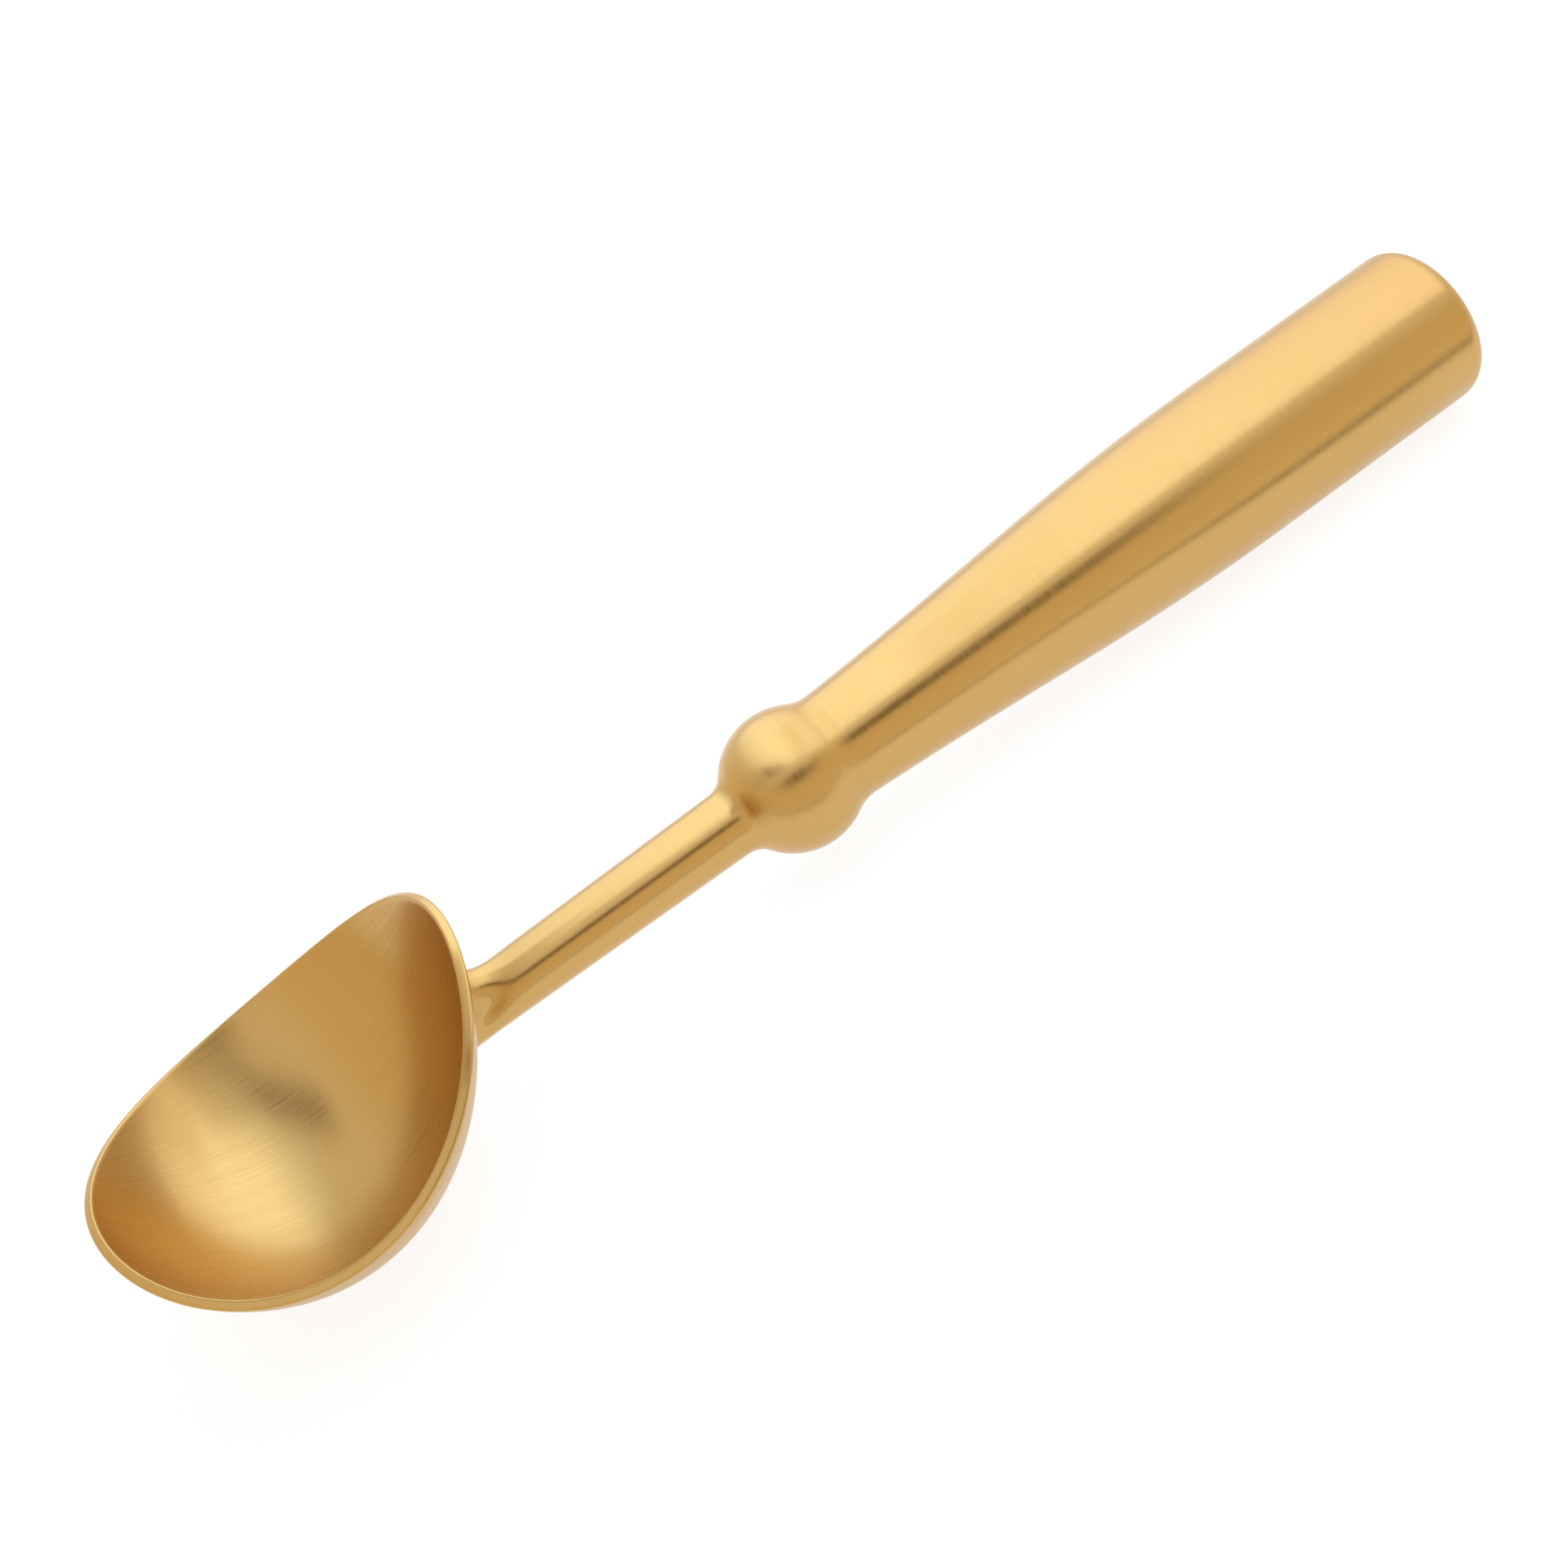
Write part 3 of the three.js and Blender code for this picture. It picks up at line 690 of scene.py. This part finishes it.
def turned_mesh(name, outline, finish):
    """Runs the turning tree on an outline and gives the result as a plain mesh in its place."""
    tree = bpy.data.node_groups.get("turn_outline") or turning_tree()
    drawn = bpy.data.meshes.new(name + "_outline")
    drawn.from_pydata([(place, radius, 0.0) for place, radius in outline], [], [])
    maker = bpy.data.objects.new(name + "_maker", drawn)
    modifier = maker.modifiers.new("turn", "NODES")
    modifier.node_group = tree
    sockets = {s.name: s.identifier for s in tree.interface.items_tree if s.in_out == "INPUT"}
    modifier[sockets["Spokes"]] = settings().handle.spokes
    modifier[sockets["Weld"]] = WELD
    modifier[sockets["Finish"]] = finish
    bpy.context.collection.objects.link(maker)
    graph = bpy.context.evaluated_depsgraph_get()
    mesh = bpy.data.meshes.new_from_object(maker.evaluated_get(graph), depsgraph=graph)
    mesh.name = name
    maker.modifiers.clear()
    bpy.data.objects.remove(maker)
    if len(mesh.polygons) == 0:
        raise RuntimeError(f"the turning tree made no faces for {name}")
    tidy(mesh)
    mesh.transform(handle_frame())
    return mesh


# Finishes

def opaque(shade):
    """A colour with full cover."""
    return [*shade, 1.0]


def named_material(name, draw, *values):
    """Gives the material of a name, whose nodes a function draws when it is first asked for."""
    known = bpy.data.materials.get(name)
    if known:
        return known
    material = bpy.data.materials.new(name)
    material.use_nodes = True
    tree = material.node_tree
    tree.nodes.clear()
    add_node(tree, "ShaderNodeOutputMaterial", inputs={"Surface": draw(tree, *values)})
    return material


def brush_lines(tree, place, noise, dimensions="3D"):
    """Noise that is drawn out along the brush lines, so that each differs from the next."""
    finish = settings().finish
    run = (finish.brush_spacing, finish.brush_run, finish.brush_run)
    lines = add_node(
        tree, "ShaderNodeMapping", {"vector_type": "TEXTURE"}, {"Vector": place, "Scale": run}
    )
    return add_node(
        tree, "ShaderNodeTexNoise", {"noise_dimensions": dimensions}, {"Vector": lines, **noise}
    )


def patterned_metal(tree, shade, pattern, roughness, more):
    """Bare metal that is duller where a pattern is high."""
    least, most = roughness
    dull = add_node(
        tree,
        "ShaderNodeMapRange",
        inputs={"Value": pattern, **NOISE_RANGE, "To Min": least, "To Max": most},
    )
    look = {"Base Color": shade, "Metallic": 1.0, "Roughness": dull, **more}
    return add_node(tree, "ShaderNodeBsdfPrincipled", inputs=look)


def brushed_gold(tree, place, lines, roughness, relief, smear):
    """Gold whose sheen and relief follow its brush lines, and that smears highlights across them."""
    finish = settings().finish
    patches = add_node(
        tree, "ShaderNodeTexNoise", inputs={"Vector": place, "Scale": 1 / finish.patch, **PATCHES}
    )
    golds = {"A": opaque(finish.gold), "B": opaque(finish.gold_worn)}
    tint = add_node(tree, "ShaderNodeMix", {"data_type": "RGBA"}, {"Factor": patches, **golds})
    depth = {"Strength": relief, "Distance": finish.brush_depth}
    bump = add_node(tree, "ShaderNodeBump", inputs={"Height": lines, **depth})
    along = add_node(tree, "ShaderNodeTangent", {"direction_type": "UV_MAP", "uv_map": "brush"})
    brushed = {"Normal": bump, "Tangent": along, "Anisotropic": smear}
    return patterned_metal(tree, tint, lines, roughness, brushed)


def turned_gold(tree, roughness, relief, smear):
    """Titanium-coated stainless steel, satin brushed on a lathe.

    The brush lines run round the piece, so a highlight stays sharp round it and smears along it.
    They are some 0.05 mm apart on the metal, too fine for the picture, and are drawn coarser.
    """
    place = add_node(tree, "ShaderNodeTexCoord").outputs["Object"]
    turned = handle_frame()
    axis = add_node(
        tree,
        "ShaderNodeMapping",
        {"vector_type": "TEXTURE"},
        {"Vector": place, "Location": turned.translation, "Rotation": turned.to_euler()},
    )
    x, y, z = add_node(tree, "ShaderNodeSeparateXYZ", inputs={0: axis}).outputs
    across = add_node(tree, "ShaderNodeCombineXYZ", inputs={1: y, 2: z})
    radius = add_node(tree, "ShaderNodeVectorMath", {"operation": "LENGTH"}, {0: across})
    climb = add_node(
        tree, "ShaderNodeMath", {"operation": "MULTIPLY_ADD"}, {0: radius, 1: RADIUS_SHARE, 2: x}
    )
    drawn = add_node(tree, "ShaderNodeCombineXYZ", inputs={0: climb, 1: y, 2: z})
    lines = brush_lines(tree, drawn, STROKES)
    return brushed_gold(tree, place, lines, roughness, relief, smear)


def drawn_gold(tree, roughness, relief, smear):
    """Titanium-coated stainless steel, drawn to a bowl and brushed by hand along the handle.

    The hairlines run from the front lip to the neck over the curve of the bowl. The real ones are
    about 0.05 mm apart and are drawn coarser, so that they show.
    """
    surface = add_node(tree, "ShaderNodeUVMap", {"uv_map": "brush"})
    place = add_node(tree, "ShaderNodeTexCoord").outputs["Object"]
    lines = brush_lines(tree, surface, STROKES, "2D")
    return brushed_gold(tree, place, lines, roughness, relief, smear)


def ground_gold(tree, roughness, relief):
    """The same coating on a rim ground across its wall: a fine dull grit."""
    finish = settings().finish
    place = add_node(tree, "ShaderNodeTexCoord").outputs["Object"]
    grit = add_node(
        tree, "ShaderNodeTexNoise", inputs={"Vector": place, "Scale": 1 / finish.grit, **GRAINS}
    )
    golds = {"A": opaque(finish.rim_gold), "B": opaque(finish.gold_worn)}
    tint = add_node(tree, "ShaderNodeMix", {"data_type": "RGBA"}, {"Factor": grit, **golds})
    depth = {"Strength": relief, "Distance": finish.grit_depth}
    bump = add_node(tree, "ShaderNodeBump", inputs={"Height": grit, **depth})
    return patterned_metal(tree, tint, grit, roughness, {"Normal": bump})


def machined_steel(tree, roughness):
    """Plain carbon steel, turned and left bare: bright rings with a grey cast between them."""
    place = add_node(tree, "ShaderNodeTexCoord").outputs["Object"]
    rings = brush_lines(tree, place, RINGS)
    return patterned_metal(tree, opaque(settings().finish.steel), rings, roughness, {})


def show_piece(name, mesh, node, slot, materials):
    """Links a finished mesh as the piece that stands for a solid."""
    mesh.materials.clear()
    for material in materials:
        mesh.materials.append(material)
    piece = bpy.data.objects.new(name, mesh)
    bpy.context.collection.objects.link(piece)
    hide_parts(node)
    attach(piece, "root")


# Operators for the scoop

class SCOOP_OT_bowl(bpy.types.Operator):
    """Make the drawn bowl with its ground rim"""

    bl_idname = "scoop.bowl"
    bl_label = "Bowl"

    def execute(self, context):
        drawn = named_material("satin_gold_drawn", drawn_gold, *DRAWN)
        ground = named_material("satin_gold_ground_rim", ground_gold, *GROUND)
        show_piece("bowl_shell", bowl_mesh(), "bowl", "gold_bowl", [drawn, ground])
        return {"FINISHED"}


class SCOOP_OT_neck(bpy.types.Operator):
    """Make the neck with its flared foot and its tang"""

    bl_idname = "scoop.neck"
    bl_label = "Neck"

    def execute(self, context):
        satin = named_material("satin_gold_turned", turned_gold, *TURNED)
        show_piece("neck_shaft", neck_mesh(), "neck_rod", "gold_neck", [satin])
        return {"FINISHED"}


class SCOOP_OT_handle(bpy.types.Operator):
    """Turn the ball, the handle and its cap"""

    bl_idname = "scoop.handle"
    bl_label = "Ball, handle and cap"

    def execute(self, context):
        satin = named_material("satin_gold_turned", turned_gold, *TURNED)
        buffed = named_material("satin_gold_buffed", turned_gold, *BUFFED)
        for name, outline, node, slot, gold in (
            ("ball_turned", ball_outline(), "ball_collar", "gold_ball", buffed),
            ("handle_tube", sleeve_outline(), "handle_sleeve", "gold_handle", satin),
            ("butt_cup", cap_outline(), "butt_cap", "gold_cap", satin),
        ):
            show_piece(name, turned_mesh(name, outline, gold), node, slot, [gold])
        return {"FINISHED"}


class SCOOP_OT_fastening(bpy.types.Operator):
    """Give the bush, the washers and the nut inside the handle their steel"""

    bl_idname = "scoop.fastening"
    bl_label = "Fastening"

    def execute(self, context):
        steel = named_material("machined_steel", machined_steel, STEEL_ROUGHNESS)
        for node in FASTENING:
            slots = frame["nodes"][node].material_slots
            if not slots:
                raise RuntimeError(f"{node} has no material slot")
            for slot in slots:
                slot.material = steel
        return {"FINISHED"}


# Stage

def studio_world(studio):
    """A pale room: neutral behind and to the right, warm to the left and low before the camera."""
    world = bpy.data.worlds.new("studio")
    world.use_nodes = True
    tree = world.node_tree
    tree.nodes.clear()
    way = add_node(tree, "ShaderNodeTexCoord").outputs["Generated"]
    part = add_node(tree, "ShaderNodeSeparateXYZ", inputs={0: way}).outputs
    near, low, left = (
        add_node(
            tree,
            "ShaderNodeMapRange",
            {"interpolation_type": "SMOOTHSTEP"},
            {"Value": part[axis], "From Min": start, "From Max": end},
        )
        for axis, start, end in WARM_ROOM
    )
    warm = add_node(tree, "ShaderNodeMath", {"operation": "MULTIPLY"}, {0: near, 1: low})
    warm = add_node(tree, "ShaderNodeMath", {"operation": "MAXIMUM"}, {0: warm, 1: left})
    walls = {"A": opaque(studio.room), "B": opaque(studio.front)}
    dome = add_node(tree, "ShaderNodeMix", {"data_type": "RGBA"}, {"Factor": warm, **walls})
    seen = add_node(tree, "ShaderNodeLightPath").outputs["Is Camera Ray"]
    lit = add_node(
        tree, "ShaderNodeBackground", inputs={"Color": dome, "Strength": studio.room_level}
    )
    white = add_node(tree, "ShaderNodeBackground", inputs={"Color": WHITE})
    shown = add_node(tree, "ShaderNodeMixShader", inputs={0: seen, 1: lit, 2: white})
    add_node(tree, "ShaderNodeOutputWorld", inputs={"Surface": shown})
    return world


def level_sheet(left, front, width, depth, height):
    """Corners of a level rectangle."""
    right, back = left + width, front + depth
    return [(x, y, height) for x, y in ((left, front), (right, front), (right, back), (left, back))]


def card_outlines(studio):
    """Corners of the softbox, its two flags, the divider and the card over the bowl's front."""
    ball = handle_frame().translation.x
    left = ball - studio.softbox_left
    front = -studio.softbox_front
    right = left + studio.softbox_width
    back = front + studio.softbox_depth
    cut = studio.softbox_corner
    top = studio.softbox_height
    below = top - MM
    softbox = [(left + studio.softbox_slant, back), (left, front + cut), (left + cut, front)]
    softbox = [(x, y, top) for x, y in softbox + [(right, front), (right, back)]]
    flag_left = ball - studio.flag_left
    flag_front = front - studio.flag_gap - studio.flag_width
    flag = level_sheet(flag_left, flag_front, studio.flag_length, studio.flag_width, below)
    aside = studio.corner_flag_width
    corner = [(left + x * cut, front + y * cut) for x, y in CORNER_FLAG_ENDS]
    corner += [(x - aside, y - aside) for x, y in reversed(corner)]
    corner = [(x, y, below) for x, y in corner]
    hung = ball + studio.divider_place
    leaned = hung + DIVIDER_LEAN * studio.divider_drop
    low = below - studio.divider_drop
    divider = [(leaned, front, below), (leaned, studio.divider_back, below)]
    divider += [(hung, DIVIDER_TAPER * studio.divider_back, low), (hung, front, low)]
    card_left, card_front = ball - studio.card_left, studio.card_back - studio.card_depth
    card = level_sheet(
        card_left, card_front, studio.card_width, studio.card_depth, studio.card_height
    )
    return softbox, flag, corner, divider, card


def hang_card(name, corners, material):
    """Hangs a flat card that lights the scoop and shows in it, out of the camera's sight."""
    mesh = bpy.data.meshes.new(name)
    mesh.from_pydata(corners, [], [range(len(corners))])
    mesh.materials.append(material)
    card = bpy.data.objects.new(name, mesh)
    card.visible_camera = False
    card.visible_shadow = False
    bpy.context.collection.objects.link(card)


def sheet_place(tree):
    """The place on a sheet of the stage, as its X, Y and Z."""
    place = add_node(tree, "ShaderNodeTexCoord").outputs["Object"]
    return add_node(tree, "ShaderNodeSeparateXYZ", inputs={0: place}).outputs


def even_glow(tree, shade, level):
    """Cloth or paper that glows evenly, so that the metal shows one flat tone."""
    return add_node(tree, "ShaderNodeEmission", inputs={"Color": opaque(shade), "Strength": level})


def softbox_cloth(tree, studio):
    """Lit cloth: dimmer at its edge over the bowl and at its back, warmer over the butt."""
    part = sheet_place(tree)
    left = handle_frame().translation.x - studio.softbox_left
    sideways = add_node(
        tree,
        "ShaderNodeMapRange",
        {"interpolation_type": "SMOOTHSTEP"},
        {
            "Value": part["X"],
            "From Min": left,
            "From Max": left + studio.softbox_fade,
            "To Min": studio.softbox_dim,
        },
    )
    backwards = add_node(
        tree,
        "ShaderNodeMapRange",
        inputs={
            "Value": part["Y"],
            "From Max": studio.softbox_depth,
            "To Min": studio.softbox_level,
            "To Max": studio.softbox_back * studio.softbox_level,
        },
    )
    factors = {0: sideways, 1: backwards}
    level = add_node(tree, "ShaderNodeMath", {"operation": "MULTIPLY"}, factors)
    farther = add_node(
        tree,
        "ShaderNodeMapRange",
        inputs={"Value": part["X"], "From Min": studio.far_start, "From Max": studio.far_end},
    )
    lights = {"A": opaque(studio.softbox), "B": opaque(studio.softbox_far)}
    light = add_node(tree, "ShaderNodeMix", {"data_type": "RGBA"}, {"Factor": farther, **lights})
    return add_node(tree, "ShaderNodeEmission", inputs={"Color": light, "Strength": level})


def card_paper(tree, studio):
    """White paper, in the shade of the flags at its end over the bowl."""
    left = handle_frame().translation.x - studio.card_left
    level = add_node(
        tree,
        "ShaderNodeMapRange",
        inputs={
            "Value": sheet_place(tree)["X"],
            "From Min": left,
            "From Max": left + studio.card_width,
            "To Min": studio.card_dim * studio.room_level,
            "To Max": studio.room_level,
        },
    )
    white = opaque(studio.room)
    return add_node(tree, "ShaderNodeEmission", inputs={"Color": white, "Strength": level})


def paper_floor(tree, studio):
    """Pale matt paper: white where the camera or the metal sees it, with the scoop's soft shadow.

    In the metal the white ends in a line of painted shade, the shadow at the table's edge, with the
    warm room beyond it.
    """
    path = add_node(tree, "ShaderNodeLightPath").outputs
    seen = path["Is Camera Ray"]
    for ray in ("Is Glossy Ray", "Is Transmission Ray"):
        seen = add_node(tree, "ShaderNodeMath", {"operation": "MAXIMUM"}, {0: seen, 1: path[ray]})
    part = sheet_place(tree)
    nearer = add_node(
        tree,
        "ShaderNodeMapRange",
        {"interpolation_type": "SMOOTHSTEP"},
        {
            "Value": part["X"],
            "From Min": studio.slant_start,
            "From Max": studio.slant_end,
            "To Max": -studio.table_slant,
        },
    )
    ahead = add_node(tree, "ShaderNodeMath", {"operation": "ADD"}, {0: part["Y"], 1: nearer})
    span = add_node(
        tree,
        "ShaderNodeMapRange",
        inputs={
            "Value": ahead,
            "From Min": -studio.table_edge - EDGE_SPAN,
            "From Max": -studio.table_edge + EDGE_SPAN,
        },
    )
    edge = add_node(tree, "ShaderNodeValToRGB", inputs={"Fac": span})
    stops = edge.color_ramp.elements
    stops[0].position, stops[0].color = WARM_END, opaque(studio.front)
    stops[1].position, stops[1].color = PAPER_START, WHITE
    # The dark stops are painted shade: the shadow at the table's edge, seen only in the metal
    stops.new(PAINTED_SHADE_START).color = stops.new(PAINTED_SHADE_END).color = opaque(studio.flag)
    tints = {"Factor": path["Is Glossy Ray"], "A": WHITE, "B": edge}
    tint = add_node(tree, "ShaderNodeMix", {"data_type": "RGBA"}, tints)
    paper = add_node(tree, "ShaderNodeBsdfDiffuse", inputs={"Color": opaque(studio.floor)})
    shade = opaque([studio.floor_shade] * 3)
    soft = add_node(tree, "ShaderNodeBsdfDiffuse", inputs={"Color": shade})
    glow = add_node(
        tree, "ShaderNodeEmission", inputs={"Color": tint, "Strength": studio.floor_glow}
    )
    pale = add_node(tree, "ShaderNodeAddShader", inputs={0: soft, 1: glow})
    return add_node(tree, "ShaderNodeMixShader", inputs={0: seen, 1: paper, 2: pale})


def place_camera(studio):
    """Sets the camera by its height, turn and roll about the handle's line."""
    cos_high, sin_high = math.cos(studio.view_height), math.sin(studio.view_height)
    cos_turn, sin_turn = math.cos(studio.view_turn), math.sin(studio.view_turn)
    cos_roll, sin_roll = math.cos(studio.view_roll), math.sin(studio.view_roll)
    toward = Vector((-sin_turn, -cos_turn * cos_high, cos_turn * sin_high))
    side = Vector((cos_turn, -sin_turn * cos_high, sin_turn * sin_high))
    down = Vector((0.0, -sin_high, -cos_high))
    right = cos_roll * side + sin_roll * down
    top = sin_roll * side - cos_roll * down
    target = Vector((-studio.view_lead, 0.0, 0.0))
    placed = Matrix((right, top, toward)).transposed().to_4x4()
    placed.translation = target + toward * studio.view_distance + top * studio.view_lift
    data = bpy.data.cameras.new("camera")
    data.lens = studio.lens
    data.sensor_width = studio.sensor
    data.clip_start = NEAREST_SEEN
    camera = bpy.data.objects.new("camera", data)
    camera.matrix_world = handle_frame() @ placed
    bpy.context.collection.objects.link(camera)
    bpy.context.scene.camera = camera


class SCOOP_OT_stage(bpy.types.Operator):
    """Set up the floor, the light and the camera"""

    bl_idname = "scoop.stage"
    bl_label = "Stage"

    def execute(self, context):
        studio = settings().studio
        size = studio.floor_size
        mesh = bpy.data.meshes.new("floor")
        mesh.from_pydata(level_sheet(-size / 2, -size / 2, size, size, 0.0), [], [range(4)])
        mesh.materials.append(named_material("pale_paper_floor", paper_floor, studio))
        floor = bpy.data.objects.new("floor", mesh)
        context.collection.objects.link(floor)
        context.scene.world = studio_world(studio)
        softbox, flag, corner, divider, card = card_outlines(studio)
        lit = named_material("softbox_cloth", softbox_cloth, studio)
        dark = named_material("flag_cloth", even_glow, studio.flag, 1.0)
        level = studio.divider_level * studio.room_level
        pale = named_material("divider_paper", even_glow, studio.room, level)
        hang_card("softbox", softbox, lit)
        hang_card("front_flag", flag, dark)
        hang_card("corner_flag", corner, dark)
        hang_card("divider", divider, pale)
        hang_card("bowl_card", card, named_material("card_paper", card_paper, studio))
        context.scene.view_settings.view_transform = "Standard"
        place_camera(studio)
        return {"FINISHED"}


# Panel and main

class SCOOP_PT_panel(bpy.types.Panel):
    """Lists what makes the scoop, with its settings"""

    bl_idname = "SCOOP_PT_panel"
    bl_label = "Ice cream scoop"
    bl_space_type = "VIEW_3D"
    bl_region_type = "UI"
    bl_category = "Scoop"

    def draw(self, context):
        for operator in OPERATORS:
            self.layout.operator(operator.bl_idname)
        for group in ScoopSettings.__annotations__:
            values = getattr(context.scene.scoop, group)
            box = self.layout.box()
            box.label(text=group.capitalize())
            for name in values.__annotations__:
                box.prop(values, name)


GROUPS = (ScoopBowlSizes, ScoopNeckSizes, ScoopHandleSizes, ScoopFinish, ScoopStudio, ScoopSettings)
OPERATORS = (SCOOP_OT_bowl, SCOOP_OT_neck, SCOOP_OT_handle, SCOOP_OT_fastening, SCOOP_OT_stage)
CLASSES = (*GROUPS, *OPERATORS, SCOOP_PT_panel)


def register():
    """Registers the settings, the operators and the panel."""
    for item in CLASSES:
        bpy.utils.register_class(item)
    bpy.types.Scene.scoop = PointerProperty(type=ScoopSettings)


def unregister():
    """Takes back what register did."""
    del bpy.types.Scene.scoop
    for item in reversed(CLASSES):
        bpy.utils.unregister_class(item)


def main():
    """Makes the scoop and its stage."""
    register()
    bpy.ops.scoop.bowl()
    bpy.ops.scoop.neck()
    bpy.ops.scoop.handle()
    bpy.ops.scoop.fastening()
    bpy.ops.scoop.stage()


if __name__ == "__main__":
    main()
